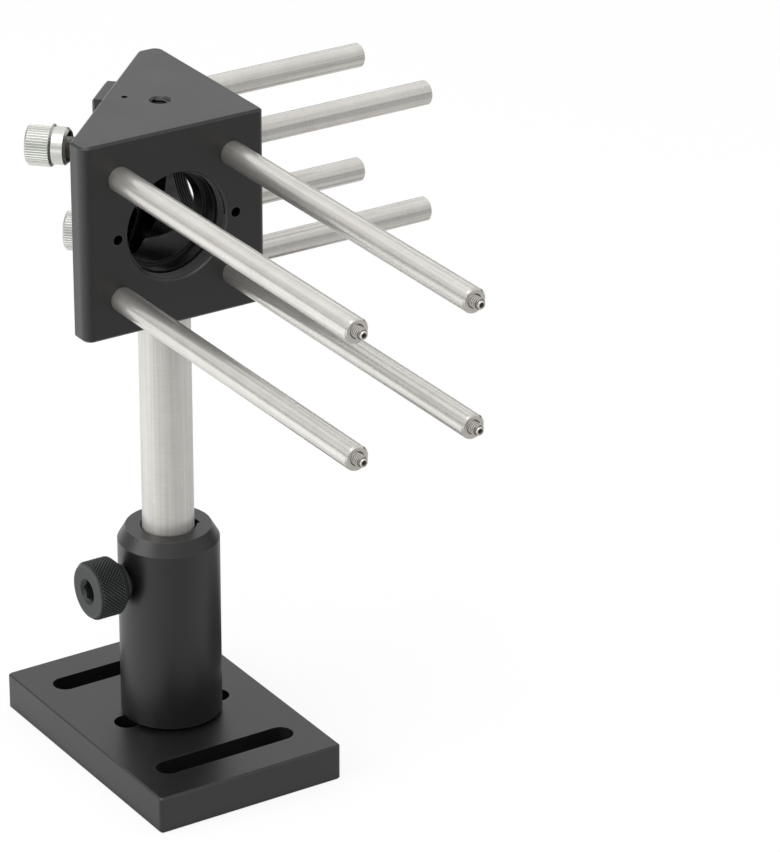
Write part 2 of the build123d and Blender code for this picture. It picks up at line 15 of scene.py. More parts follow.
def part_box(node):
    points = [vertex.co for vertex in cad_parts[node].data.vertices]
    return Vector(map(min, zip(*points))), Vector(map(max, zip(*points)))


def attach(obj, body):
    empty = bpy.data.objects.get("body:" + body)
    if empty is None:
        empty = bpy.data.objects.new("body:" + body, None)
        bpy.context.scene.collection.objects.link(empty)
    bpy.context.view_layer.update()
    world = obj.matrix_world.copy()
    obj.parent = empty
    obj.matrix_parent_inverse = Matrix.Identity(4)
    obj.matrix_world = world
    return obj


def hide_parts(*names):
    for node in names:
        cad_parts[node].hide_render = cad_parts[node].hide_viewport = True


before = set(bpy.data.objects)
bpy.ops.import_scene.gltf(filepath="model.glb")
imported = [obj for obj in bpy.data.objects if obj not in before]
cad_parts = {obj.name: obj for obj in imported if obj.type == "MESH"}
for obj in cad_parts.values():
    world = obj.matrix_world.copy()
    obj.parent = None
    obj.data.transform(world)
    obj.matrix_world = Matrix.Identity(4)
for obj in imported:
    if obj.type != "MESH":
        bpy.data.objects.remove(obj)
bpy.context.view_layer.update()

bl_info = {
    "name": "Right-angle mirror mount",
    "version": (1, 0, 0),
    "blender": (4, 5, 0),
    "location": "View3D > Sidebar > Mirror mount",
    "description": "Builds the mirror mount's threads, knurl, springs, finishes and studio",
    "category": "Object",
}

MM = 0.001

# Places read from the frame
ROD_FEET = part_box("front_rod_upper_left")
ROD_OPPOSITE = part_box("front_rod_lower_right")
FRONT_FACE = ROD_FEET[1].y
FRONT_ROD_END = ROD_FEET[0].y
CAGE_HEIGHT = (ROD_FEET[0].z + ROD_OPPOSITE[1].z) / 2
FRONT_PORT_X = (ROD_FEET[0].x + ROD_OPPOSITE[1].x) / 2
SIDE_ROD_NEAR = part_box("side_rod_upper_front")
SIDE_ROD_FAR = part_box("side_rod_lower_back")
SIDE_FACE = SIDE_ROD_NEAR[0].x
SIDE_PORT_Y = (SIDE_ROD_NEAR[0].y + SIDE_ROD_FAR[1].y) / 2
HALF_CAGE = (ROD_OPPOSITE[1].x - ROD_FEET[0].x - 6 * MM) / 2
THUMB_LOW, THUMB_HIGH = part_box("clamp_thumbscrew")
CLAMP_HEIGHT = (THUMB_LOW.z + THUMB_HIGH.z) / 2
OUT_OF_BACK = Vector((-1, 1, 0)).normalized()


# Sizes and colours that a user would change
class ThreadSizes(bpy.types.PropertyGroup):
    """Pitches and heights of the visible threads."""

    port_pitch: FloatProperty(
        name="Port pitch", description="Advance of the port's thread per turn",
        default=0.635 * MM, subtype="DISTANCE", precision=6)
    port_height: FloatProperty(
        name="Port ridge", description="How far the port's thread stands in from the bore",
        default=0.36 * MM, subtype="DISTANCE", precision=6)
    top_pitch: FloatProperty(
        name="Top tap pitch", description="Advance of the top tap's thread per turn",
        default=0.794 * MM, subtype="DISTANCE", precision=6)
    stud_pitch: FloatProperty(
        name="Stud pitch", description="Advance of the rod studs' thread per turn",
        default=0.635 * MM, subtype="DISTANCE", precision=6)
    stud_height: FloatProperty(
        name="Stud ridge", description="Height of the rod studs' thread",
        default=0.32 * MM, subtype="DISTANCE", precision=6)
    adjuster_pitch: FloatProperty(
        name="Adjuster pitch", description="Advance of the adjusters' thread per turn",
        default=0.254 * MM, subtype="DISTANCE", precision=6)


class KnurlSizes(bpy.types.PropertyGroup):
    """The thumbscrew's diamond knurl."""

    around: IntProperty(
        name="Diamonds around", description="Diamonds in one row round the thumbscrew", default=48)
    rows: IntProperty(
        name="Rows", description="Half-rows of diamonds along the thumbscrew", default=14)
    height: FloatProperty(
        name="Diamond height", description="Height of each diamond's point",
        default=0.38 * MM, subtype="DISTANCE", precision=6)


class FinishColours(bpy.types.PropertyGroup):
    """Colours of the mount's finishes."""

    anodised: FloatVectorProperty(
        name="Anodised", description="Black anodised aluminium",
        default=(0.0068, 0.0065, 0.0068), subtype="COLOR", min=0, max=1)
    # Partly wear and partly a painted highlight along the anodised edges
    worn_edge_and_highlight: FloatVectorProperty(
        name="Worn edge", description="Anodised edges where they catch and rub",
        default=(0.085, 0.083, 0.088), subtype="COLOR", min=0, max=1)
    steel_light: FloatVectorProperty(
        name="Steel, light", description="Ground stainless steel, lighter streaks",
        default=(0.79, 0.775, 0.735), subtype="COLOR", min=0, max=1)
    steel_dark: FloatVectorProperty(
        name="Steel, dark", description="Ground stainless steel, darker streaks",
        default=(0.56, 0.54, 0.505), subtype="COLOR", min=0, max=1)
    rod_end: FloatVectorProperty(
        name="Rod end", description="Turned end faces of the rods",
        default=(0.8, 0.76, 0.72), subtype="COLOR", min=0, max=1)
    nickel: FloatVectorProperty(
        name="Nickel", description="Satin knobs of the adjusters",
        default=(0.6, 0.61, 0.575), subtype="COLOR", min=0, max=1)
    brass: FloatVectorProperty(
        name="Brass", description="Bushings and the clamp's soft tip",
        default=(0.72, 0.52, 0.24), subtype="COLOR", min=0, max=1)
    black_steel: FloatVectorProperty(
        name="Black steel", description="Blackened steel of the thumbscrew",
        default=(0.016, 0.019, 0.018), subtype="COLOR", min=0, max=1)


class StudioSettings(bpy.types.PropertyGroup):
    """Camera, lamps and floor."""

    camera_place: FloatVectorProperty(
        name="Camera", description="Where the camera stands",
        default=(-0.52135, -0.91013, 0.57717), subtype="XYZ", unit="LENGTH", precision=5)
    azimuth: FloatProperty(
        name="Azimuth", description="Turn of the camera about the vertical",
        default=radians(-32.741), subtype="ANGLE")
    elevation: FloatProperty(
        name="Elevation", description="Height of the camera above the level",
        default=radians(25.095), subtype="ANGLE")
    roll: FloatProperty(
        name="Roll", description="Tilt of the camera about its own view",
        default=radians(0.117), subtype="ANGLE")
    lens: FloatProperty(
        name="Lens", description="Focal length in millimetres on a 36 mm frame", default=203.44)
    ambient: FloatProperty(
        name="Ambient", description="Even light from all round", default=0.6)
    key_power: FloatProperty(
        name="Key", description="Power of the softbox overhead", default=6.0, unit="POWER")
    side_power: FloatProperty(
        name="Side", description="Power of the softbox at the left", default=5.0, unit="POWER")
    floor_colour: FloatVectorProperty(
        name="Floor", description="Colour of the floor",
        default=(0.93, 0.93, 0.93), subtype="COLOR", min=0, max=1)


# Shader maths: an expression on values adds its Math nodes
class Value:
    """One output socket of a shader, with arithmetic."""

    def __init__(self, shader, socket):
        self.shader = shader
        self.socket = socket

    def math(self, operation, *values, **settings):
        """A Math node on these values."""
        return self.shader.node("ShaderNodeMath", dict(operation=operation, **settings), values)

    def __add__(self, other):
        return self.math("ADD", self, other)

    def __sub__(self, other):
        return self.math("SUBTRACT", self, other)

    def __mul__(self, other):
        return self.math("MULTIPLY", self, other)

    def __truediv__(self, other):
        return self.math("DIVIDE", self, other)

    def __pow__(self, other):
        return self.math("POWER", self, other)

    def __radd__(self, other):
        return self.math("ADD", other, self)

    def __rsub__(self, other):
        return self.math("SUBTRACT", other, self)

    def __rmul__(self, other):
        return self.math("MULTIPLY", other, self)

    def __rtruediv__(self, other):
        return self.math("DIVIDE", other, self)

    def __abs__(self):
        return self.math("ABSOLUTE", self)

    def above(self, edge, softness):
        """0 below the edge, 1 above it, changing over the softness."""
        return self.math("MULTIPLY_ADD", self, 1 / softness, 0.5 - edge / softness, use_clamp=True)

    def below(self, edge, softness):
        """1 below the edge, 0 above it."""
        return 1 - self.above(edge, softness)

    def wave(self, pitch):
        """A triangular wave from 0 to 1 and back in one pitch."""
        return self.math("PINGPONG", self, pitch / 2) * (2 / pitch)


class Shader:
    """The nodes of a material or of the world."""

    def __init__(self, owner):
        owner.use_nodes = True
        self.tree = owner.node_tree
        self.tree.nodes.clear()

    def node(self, kind, settings=None, values=(), output=0):
        """Add a node: its settings first, then the values or links of its sockets."""
        made = self.tree.nodes.new(kind)
        for name, setting in (settings or {}).items():
            setattr(made, name, setting)
        pairs = values.items() if isinstance(values, dict) else enumerate(values)
        for key, value in pairs:
            if isinstance(value, Value):
                self.tree.links.new(value.socket, made.inputs[key])
            else:
                made.inputs[key].default_value = value
        return Value(self, made.outputs[output]) if made.outputs else None

    def place(self):
        """The point on the piece, in millimetres of the mount's own frame."""
        point = self.node("ShaderNodeTexCoord", output="Object")
        return self.node(
            "ShaderNodeVectorMath", {"operation": "SCALE"}, {0: point, "Scale": 1 / MM})

    def axes(self, vector):
        """The three parts of a vector."""
        split = self.node("ShaderNodeSeparateXYZ", values=(vector,))
        return tuple(Value(self, out) for out in split.socket.node.outputs)

    def stretched(self, point, scale):
        """The point scaled by three numbers, to draw a pattern out along an axis."""
        return self.node("ShaderNodeVectorMath", {"operation": "MULTIPLY"}, (point, scale))

    def noise(self, point, scale, detail=2.0, roughness=0.5):
        """Noise from 0 to 1, this many times per millimetre."""
        return self.node(
            "ShaderNodeTexNoise", {"noise_dimensions": "3D"},
            {"Vector": point, "Scale": scale, "Detail": detail, "Roughness": roughness})

    def mixed(self, factor, first, second):
        """A colour between two colours."""
        return self.node(
            "ShaderNodeMix", {"data_type": "RGBA"}, {0: factor, 6: first, 7: second}, output=2)

    def bumped(self, height, depth, strength=1.0):
        """A normal tipped by a height of 0 to 1 over this depth in metres."""
        return self.node(
            "ShaderNodeBump", values={"Height": height, "Distance": depth, "Strength": strength})

    def edges(self, radius):
        """0 on open surfaces, rising to 1 on edges rounded by this radius in metres."""
        rounded = self.node("ShaderNodeBevel", {"samples": 6}, {"Radius": radius})
        true = self.node("ShaderNodeNewGeometry", output="Normal")
        match = self.node(
            "ShaderNodeVectorMath", {"operation": "DOT_PRODUCT"}, (rounded, true), output="Value")
        return (1 - match).above(0.08, 0.14)

    def surface(self, values, *layers):
        """Finish a material: a Principled surface, and shares of changed ones mixed in."""
        skin = self.node("ShaderNodeBsdfPrincipled", values=values)
        for share, changes in layers:
            layer = self.node("ShaderNodeBsdfPrincipled", values={**values, **changes})
            skin = self.node("ShaderNodeMixShader", values=(share, skin, layer))
        self.node("ShaderNodeOutputMaterial", values=(skin,))


def camera_ways(x, y):
    """How far a level direction or place lies to the camera's right, and away from it."""
    return x * 0.87 - y * 0.5, x * 0.5 + y * 0.87


def off_rod_axis(x, z):
    """The distance from the nearest front rod's axis, in millimetres."""
    across = abs(abs(x - FRONT_PORT_X / MM) - HALF_CAGE / MM)
    up = abs(abs(z - CAGE_HEIGHT / MM) - HALF_CAGE / MM)
    return (across ** 2 + up ** 2) ** 0.5


def new_shader(name):
    """A new material and its shader."""
    material = bpy.data.materials.new(name)
    return material, Shader(material)


def opaque(colour):
    """A colour with its alpha."""
    return (*colour, 1.0)


def paint(material, *pieces):
    """Give pieces or CAD nodes, named or not, one material all over."""
    for piece in pieces:
        if isinstance(piece, str):
            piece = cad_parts[piece]
        piece.data.materials.clear()
        piece.data.materials.append(material)
        for face in piece.data.polygons:
            face.material_index = 0


# Finishes
def anodised(name, bores=False, depth=1.0):
    """Black anodised aluminium: fine blasted grain, faint clouds, paler edges that are partly wear
    and partly a painted highlight, smoother bores; depth scales the colour, below 1 as painted
    shade and above 1 as painted highlight.
    """
    colours = bpy.context.scene.mount_colours
    material, shader = new_shader(name)
    place = shader.place()
    clouds = shader.noise(place, 0.06, 3.0)
    grain = shader.noise(place, 7.0, 2.0, 0.6)
    speckle = shader.noise(place, 2.2, 3.0, 0.65)
    edge_wear_and_highlight = shader.edges(0.45 * MM)
    # depth scales the black: below 1 it paints shade, above 1 it paints a highlight
    black = shader.mixed(
        clouds * 0.5 + speckle * 0.4,
        opaque(value * 0.7 * depth for value in colours.anodised),
        opaque(value * 1.35 * depth for value in colours.anodised))
    # Paler edges: partly wear and partly a painted highlight, made stronger by depth
    colour = shader.mixed(
        edge_wear_and_highlight * (0.35 + 0.5 * speckle) * depth, black, opaque(colours.worn_edge_and_highlight))
    roughness = 0.3 + 0.08 * clouds + 0.06 * speckle - 0.06 * edge_wear_and_highlight
    height = grain * 0.7 + speckle * 0.3
    if bores:
        x, y, z = shader.axes(place)
        wall, mouth = 13.3, 0.25
        up = z - CAGE_HEIGHT / MM
        front = (x - FRONT_PORT_X / MM) ** 2 + up ** 2
        side = (y - SIDE_PORT_Y / MM) ** 2 + up ** 2
        in_front = front.below(wall ** 2, 4.0) * y.above(FRONT_FACE / MM + mouth, 0.2)
        in_side = side.below(wall ** 2, 4.0) * x.below(SIDE_FACE / MM - mouth, 0.2)
        bored = in_front.math("MAXIMUM", in_front, in_side)
        turned = (in_front * y + in_side * x).wave(0.16)
        roughness = roughness * (1 - bored) + bored * (0.24 + 0.05 * clouds)
        height = height * (1 - bored * 0.85) + bored * 0.5 * turned
    shader.surface({
        "Base Color": colour, "Roughness": roughness, "IOR": 1.6,
        "Normal": shader.bumped(height, 0.02 * MM, 0.55)})
    return material


def ground_steel(name, along, ends=False, haze=0.28, hazy_metallic=0.92):
    """Centreless-ground stainless: long pale and dark streaks, fine rings round the axis."""
    colours = bpy.context.scene.mount_colours
    material, shader = new_shader(name)
    place = shader.place()

    def drawn(crosswise, lengthwise):
        """The place scaled to this many marks per millimetre across the axis and along it."""
        return shader.stretched(place, [lengthwise if way == along else crosswise for way in "XYZ"])

    streaks = shader.noise(drawn(1.5, 0.012), 1.0, 3.0, 0.6)
    rings = shader.noise(drawn(0.3, 6.0), 1.0, 3.0, 0.7)
    grooves = shader.noise(drawn(0.2, 14.0), 1.0, 1.0, 0.5)
    handling = shader.noise(place, 0.12, 3.0, 0.6)
    tone = (streaks + rings * 0.5 + handling * 0.4).above(0.95, 0.7)
    colour = shader.mixed(tone, opaque(colours.steel_dark), opaque(colours.steel_light))
    roughness = 0.1 + 0.05 * streaks + 0.04 * rings + 0.03 * handling
    height = rings * 0.4 + streaks * 0.6
    if ends:
        x, y, z = shader.axes(place)
        radius = off_rod_axis(x, z)
        on_end = y.below(FRONT_ROD_END / MM + 0.03, 0.02)
        height = height * (1 - on_end) + on_end * radius.wave(0.22)
        roughness = roughness + on_end * 0.2
        colour = shader.mixed(on_end * 0.8, colour, opaque(colours.rod_end))
    shader.surface({
        "Base Color": colour, "Metallic": 0.92, "Roughness": roughness, "IOR": 1.5,
        "Normal": shader.bumped(height, 0.01 * MM, 0.6)},
        (0.5, {"Roughness": roughness + 0.08, "Normal": shader.bumped(grooves, 0.035 * MM)}),
        (haze, {"Roughness": 0.6, "Metallic": hazy_metallic}))
    return material


def plain_metal(name, colour, roughness, grain_depth=0.006):
    """A small turned or wound metal piece: fine grain, slight clouding, brighter edges."""
    material, shader = new_shader(name)
    place = shader.place()
    grain = shader.noise(place, 5.0, 3.0, 0.6)
    clouds = shader.noise(place, 0.5, 2.0)
    edge_wear_and_highlight = shader.edges(0.15 * MM)
    dull = opaque(value * 0.82 for value in colour)
    bright = opaque(min(1.0, value * 1.12) for value in colour)
    shader.surface({
        "Base Color": shader.mixed(clouds * 0.6 + grain * 0.3 + edge_wear_and_highlight * 0.3, dull, bright),
        "Metallic": 1.0,
        "Roughness": roughness + 0.1 * grain + 0.06 * clouds - 0.05 * edge_wear_and_highlight,
        "Normal": shader.bumped(grain, grain_depth * MM, 0.6)})
    return material


def stud_steel_with_painted_shade(name):
    """The rod ends' studs: pale crests and tip, with painted shade darkening the thread roots and
    the socket.
    """
    material, shader = new_shader(name)
    place = shader.place()
    x, y, z = shader.axes(place)
    radius = off_rod_axis(x, z)
    tip = y.below(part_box("rod_end_studs")[0].y / MM + 0.2, 0.05)
    # The socket and the thread roots are painted dark as shade; crests and tip keep the pale steel
    socket_radius, crest_radius = 0.66, 1.26
    socket = radius.below(socket_radius, 0.06)
    crest = radius.above(crest_radius, 0.14)
    bright = (crest + tip).math("MINIMUM", crest + tip, 1) * (1 - socket)
    grain = shader.noise(place, 6.0, 3.0, 0.6)
    shader.surface({
        "Base Color": shader.mixed(
            bright * (0.8 + 0.2 * grain), (0.24, 0.22, 0.19, 1), (0.9, 0.88, 0.84, 1)),
        "Metallic": 1 - 0.9 * socket, "Roughness": 0.3 + 0.1 * grain + 0.3 * socket,
        "Normal": shader.bumped(grain, 0.004 * MM, 0.6)})
    return material


def toothed_nickel(name, node):
    """Satin nickel of an adjuster's knob, with painted shade in the roots of its teeth and a
    painted highlight on their crests and on its collar.
    """
    colour = bpy.context.scene.mount_colours.nickel
    material, shader = new_shader(name)
    place = shader.place()
    x, y, z = shader.axes(place)
    centre = sum(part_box(node), Vector()) / 2 / MM
    across = (x - centre.x + y - centre.y) / sqrt(2)
    radius = (across ** 2 + (z - centre.z) ** 2) ** 0.5
    grain = shader.noise(place, 5.0, 3.0, 0.6)
    clouds = shader.noise(place, 0.5, 2.0)
    grip_radius, crest_radius = 4.7, 4.98
    grip = radius.above(grip_radius, 0.1)
    crest = radius.above(crest_radius, 0.12)
    # Painted light: dark tooth roots as shade, pale crests and collar as highlight
    bright = (1 - grip) * 0.75 + grip * crest + 0.2 * clouds
    shader.surface({
        "Base Color": shader.mixed(
            bright, opaque(value * 0.68 for value in colour),
            opaque(min(1.0, value * 1.16) for value in colour)),
        "Metallic": 0.9, "Roughness": 0.34 + 0.06 * grain - 0.08 * (1 - grip),
        "Normal": shader.bumped(grain, 0.004 * MM, 0.5)})
    return material


def knurled_black(name, crest):
    """Blackened steel: painted shade in the knurl's valleys, and paler points and face rim that are
    partly wear and partly a painted highlight.
    """
    colours = bpy.context.scene.mount_colours
    material, shader = new_shader(name)
    place = shader.place()
    _, y, z = shader.axes(place)
    radius = (y ** 2 + (z - CLAMP_HEIGHT / MM) ** 2) ** 0.5
    point = radius.above(crest - 0.14, 0.22)
    knurled = radius.above(crest - 0.5, 0.05)
    rim = radius.above(crest - 1.2, 0.4)
    grain = shader.noise(place, 4.0, 3.0, 0.6)
    # The knurl's valleys are painted darker as shade; its points and the face's rim are paler,
    # partly wear and partly a painted highlight
    dark = opaque(value * 0.5 for value in colours.black_steel)
    worn_and_highlit = opaque(value * 5 for value in colours.black_steel)
    face = shader.mixed(rim * (0.2 + 0.3 * grain), opaque(colours.black_steel), worn_and_highlit)
    shader.surface({
        "Base Color": shader.mixed(
            knurled, face, shader.mixed(point * (0.6 + 0.6 * grain), dark, worn_and_highlit)),
        "Roughness": 0.4 + 0.12 * grain - 0.14 * point * knurled, "IOR": 1.45,
        "Normal": shader.bumped(grain, 0.012 * MM, 0.6)})
    return material


def fine_threaded(name, colour, roughness, pitch):
    """Steel with a fine thread along the adjusters' direction, with painted shade darkening its
    roots.
    """
    material, shader = new_shader(name)
    place = shader.place()
    x, y, _ = shader.axes(place)
    depth = (y - x) / sqrt(2)
    crest = depth.wave(pitch)
    grain = shader.noise(place, 6.0)
    shader.surface({
        # Thread roots darkened to 0.35 of the colour as painted shade
        "Base Color": shader.mixed(
            crest * 0.8 + grain * 0.2, opaque(value * 0.35 for value in colour), opaque(colour)),
        "Metallic": 1.0,
        "Roughness": roughness + 0.12 * (1 - crest) + 0.06 * grain,
        "Normal": shader.bumped(crest, 0.12 * MM, 0.8)})
    return material


def silvered_glass(name):
    """The mirror: silver on its face towards the ports, ground glass round and behind."""
    material, shader = new_shader(name)
    place = shader.place()
    x, y, _ = shader.axes(place)
    low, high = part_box("mirror")
    centre = (low + high) / 2
    half_thickness = 3.0
    middle = centre.dot(OUT_OF_BACK) / MM
    outward = (y - x) / sqrt(2)
    face = outward.below(middle - half_thickness + 0.02, 0.03)
    grain = shader.noise(place, 6.0, 3.0)
    smudge = shader.noise(place, 0.25, 2.0)
    shader.surface({
        "Base Color": shader.mixed(face, (0.55, 0.6, 0.58, 1), (0.93, 0.93, 0.92, 1)),
        "Metallic": face,
        "Roughness": face * (0.015 + 0.03 * smudge) + (1 - face) * (0.45 + 0.15 * grain),
        "Normal": shader.bumped(grain * (1 - face), 0.01 * MM, 0.5)})
    return material


# Modelling, with Blender's own tools
def picked(piece):
    """Select one object alone and make it active."""
    bpy.ops.object.select_all(action="DESELECT")
    piece.select_set(True)
    bpy.context.view_layer.objects.active = piece
    return piece


def applied(piece, kind, **settings):
    """Add a modifier to a piece, set it up and apply it."""
    picked(piece)
    bpy.ops.object.modifier_add(type=kind)
    modifier = piece.modifiers[-1]
    for name, setting in settings.items():
        setattr(modifier, name, setting)
    bpy.ops.object.modifier_apply(modifier=modifier.name)
    return piece


def choose(piece, wanted, domain="FACE"):
    """In edit mode, select faces by centre, edges by their two ends or vertices by place."""
    bpy.ops.mesh.select_mode(type=domain)
    bpy.ops.mesh.select_all(action="DESELECT")
    mesh = bmesh.from_edit_mesh(piece.data)
    if domain == "FACE":
        for face in mesh.faces:
            face.select_set(wanted(face.calc_center_median()))
    elif domain == "EDGE":
        for edge in mesh.edges:
            first, second = (vertex.co for vertex in edge.verts)
            edge.select_set(wanted(first, second))
    else:
        for vertex in mesh.verts:
            vertex.select_set(wanted(vertex.co))
    mesh.select_flush_mode()
    bmesh.update_edit_mesh(piece.data)


def turned(name, rings, segments):
    """A solid turned body about Z: a disc extruded from ring to ring, each (radius, height)."""
    radius, height = rings[0]
    bpy.ops.object.select_all(action="DESELECT")
    bpy.ops.mesh.primitive_circle_add(
        vertices=segments, radius=radius, fill_type="NGON", location=(0, 0, height))
    piece = bpy.context.object
    piece.name = piece.data.name = name
    bpy.ops.object.transform_apply(location=True, rotation=True, scale=True)
    bpy.ops.object.mode_set(mode="EDIT")
    bpy.ops.mesh.select_all(action="SELECT")
    for next_radius, next_height in rings[1:]:
        bpy.ops.mesh.extrude_region_move(
            TRANSFORM_OT_translate={"value": (0, 0, next_height - height)})
        grow = next_radius / radius
        bpy.ops.transform.resize(value=(grow, grow, 1), center_override=(0, 0, next_height))
        radius, height = next_radius, next_height
    bpy.ops.mesh.select_all(action="SELECT")
    bpy.ops.mesh.normals_make_consistent(inside=False)
    bpy.ops.object.mode_set(mode="OBJECT")
    return piece


def thread_ridge(name, radius, ridge, pitch, length, inward=False, segments=64):
    """A helical ridge about Z up to the length, standing out from a radius or in from it."""
    sunk = 0.04 * MM
    height = ridge + sunk
    # The ridge's cut is a triangle, 1.5 times as high as the radius round its corners
    reach = height / 1.5
    middle = radius - sunk + reach / 2
    if inward:
        middle = radius + sunk - reach / 2
    bpy.ops.object.select_all(action="DESELECT")
    bpy.ops.mesh.primitive_circle_add(
        vertices=3, radius=reach, fill_type="NOTHING", location=(middle, 0, reach),
        rotation=(pi / 2, -pi / 2 if inward else pi / 2, 0))
    piece = bpy.context.object
    piece.name = piece.data.name = name
    bpy.ops.object.transform_apply(location=True, rotation=True, scale=True)
    turns = (length - 2 * reach) / pitch
    applied(
        piece, "SCREW", axis="Z", angle=2 * pi * turns, screw_offset=pitch * turns,
        iterations=1, steps=int(segments * turns), render_steps=int(segments * turns))
    bpy.ops.object.mode_set(mode="EDIT")
    bpy.ops.mesh.select_all(action="SELECT")
    bpy.ops.mesh.fill_holes(sides=0)
    bpy.ops.mesh.select_all(action="SELECT")
    bpy.ops.mesh.normals_make_consistent(inside=False)
    bpy.ops.object.mode_set(mode="OBJECT")
    return piece


def hex_cut(piece, across_flats, top, depth, chamfer):
    """Cut a hex socket with a bevelled mouth into a turned body, down from its top."""
    corner = across_flats / sqrt(3)
    cutter = turned("socket_cutter", (
        (corner, top - depth), (corner, top - chamfer), (corner + 2 * chamfer, top + chamfer)), 6)
    applied(piece, "BOOLEAN", operation="DIFFERENCE", object=cutter, solver="EXACT")
    bpy.data.objects.remove(cutter)
    return piece


def joined(name, *pieces):
    """Join pieces into one."""
    bpy.ops.object.select_all(action="DESELECT")
    for piece in pieces:
        piece.select_set(True)
    bpy.context.view_layer.objects.active = pieces[0]
    bpy.ops.object.join()
    whole = bpy.context.object
    whole.name = whole.data.name = name
    return whole


def stood(piece, foot, towards):
    """Turn a piece made about Z to point another way, move it to its foot and apply its place."""
    turn = Vector((0, 0, 1)).rotation_difference(Vector(towards)).to_matrix().to_4x4()
    picked(piece)
    piece.matrix_world = Matrix.Translation(Vector(foot)) @ turn
    bpy.ops.object.transform_apply(location=True, rotation=True, scale=True)
    return piece


def smoothed(piece, angle=35):
    """Shade a piece smooth except at its sharp edges."""
    picked(piece)
    bpy.ops.object.shade_smooth_by_angle(angle=radians(angle))
    return piece


def copied(piece, name, shift):
    """A copy of a piece with its own mesh, moved by a shift that goes into the mesh."""
    twin = piece.copy()
    twin.data = piece.data.copy()
    twin.name = twin.data.name = name
    bpy.context.scene.collection.objects.link(twin)
    twin.data.transform(Matrix.Translation(shift))
    return twin


class MOUNT_OT_port_threads(bpy.types.Operator):
    """Cut the fine mounting thread into both ports, and the coarser one into the top tap"""

    bl_idname = "mount.port_threads"
    bl_label = "Port and top threads"

    def execute(self, context):
        sizes = context.scene.mount_threads
        bore_radius = 13.15 * MM
        start, length = 0.4 * MM, 3.5 * MM
        ports = {
            "front_port_thread": ((FRONT_PORT_X, FRONT_FACE + start, CAGE_HEIGHT), (0, 1, 0)),
            "side_port_thread": ((SIDE_FACE - start, SIDE_PORT_Y, CAGE_HEIGHT), (-1, 0, 0)),
        }
        # The ports' thread is painted darker as shade inside the bores; the top tap's thread is
        # painted paler as a highlight of the light from above
        port_shaded_finish = anodised("anodised_thread_painted_shade", depth=0.45)
        tap_highlit_finish = anodised("anodised_tap_painted_highlight", depth=1.6)
        threads = []
        for name, (foot, inward) in ports.items():
            thread = thread_ridge(
                name, bore_radius, sizes.port_height, sizes.port_pitch, length,
                inward=True, segments=96)
            threads.append((stood(thread, foot, inward), port_shaded_finish))
        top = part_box("housing")[1].z
        tap_radius, tap_height = 2.135 * MM, 0.32 * MM
        tap_start, tap_length = 0.5 * MM, 5.6 * MM
        tap = thread_ridge(
            "top_tap_thread", tap_radius, tap_height, sizes.top_pitch, tap_length,
            inward=True, segments=48)
        threads.append((stood(tap, (0, 0, top - tap_start), (0, 0, -1)), tap_highlit_finish))
        for thread, finish in threads:
            smoothed(thread, 30)
            paint(finish, thread)
            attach(thread, "head")
        return {"FINISHED"}


class MOUNT_OT_rod_end_studs(bpy.types.Operator):
    """Model the threaded studs that stand out of the front rods' ends"""

    bl_idname = "mount.rod_end_studs"
    bl_label = "Rod end studs"

    def execute(self, context):
        sizes = context.scene.mount_threads
        low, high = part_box("rod_end_studs")
        length = high.y - low.y
        crest = 1.42 * MM
        root = crest - sizes.stud_height
        tip = 0.82 * MM
        foot_edge = 0.2 * MM
        cone_start = length - 0.3 * MM
        socket_flats, socket_depth, socket_edge = 1.1 * MM, 1.3 * MM, 0.04 * MM
        body = turned("stud_body", (
            (root - foot_edge, 0), (root, foot_edge), (root, cone_start), (tip, length)), 32)
        hex_cut(body, socket_flats, length, socket_depth, socket_edge)
        ridge = thread_ridge(
            "stud_ridge", root, sizes.stud_height, sizes.stud_pitch, cone_start, segments=28)
        stud = joined("rod_end_stud_upper_left", body, ridge)
        stood(stud, (
            FRONT_PORT_X - HALF_CAGE, high.y, CAGE_HEIGHT + HALF_CAGE), (0, -1, 0))
        smoothed(stud, 40)
        bright = stud_steel_with_painted_shade("stud_steel_with_painted_shade")
        studs = [stud]
        for name, across, down in (
            ("rod_end_stud_upper_right", 2, 0),
            ("rod_end_stud_lower_left", 0, 2),
            ("rod_end_stud_lower_right", 2, 2),
        ):
            studs.append(copied(stud, name, Vector((across * HALF_CAGE, 0, -down * HALF_CAGE))))
        for piece in studs:
            paint(bright, piece)
            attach(piece, "head")
            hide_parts("rod_end_studs")
        return {"FINISHED"}


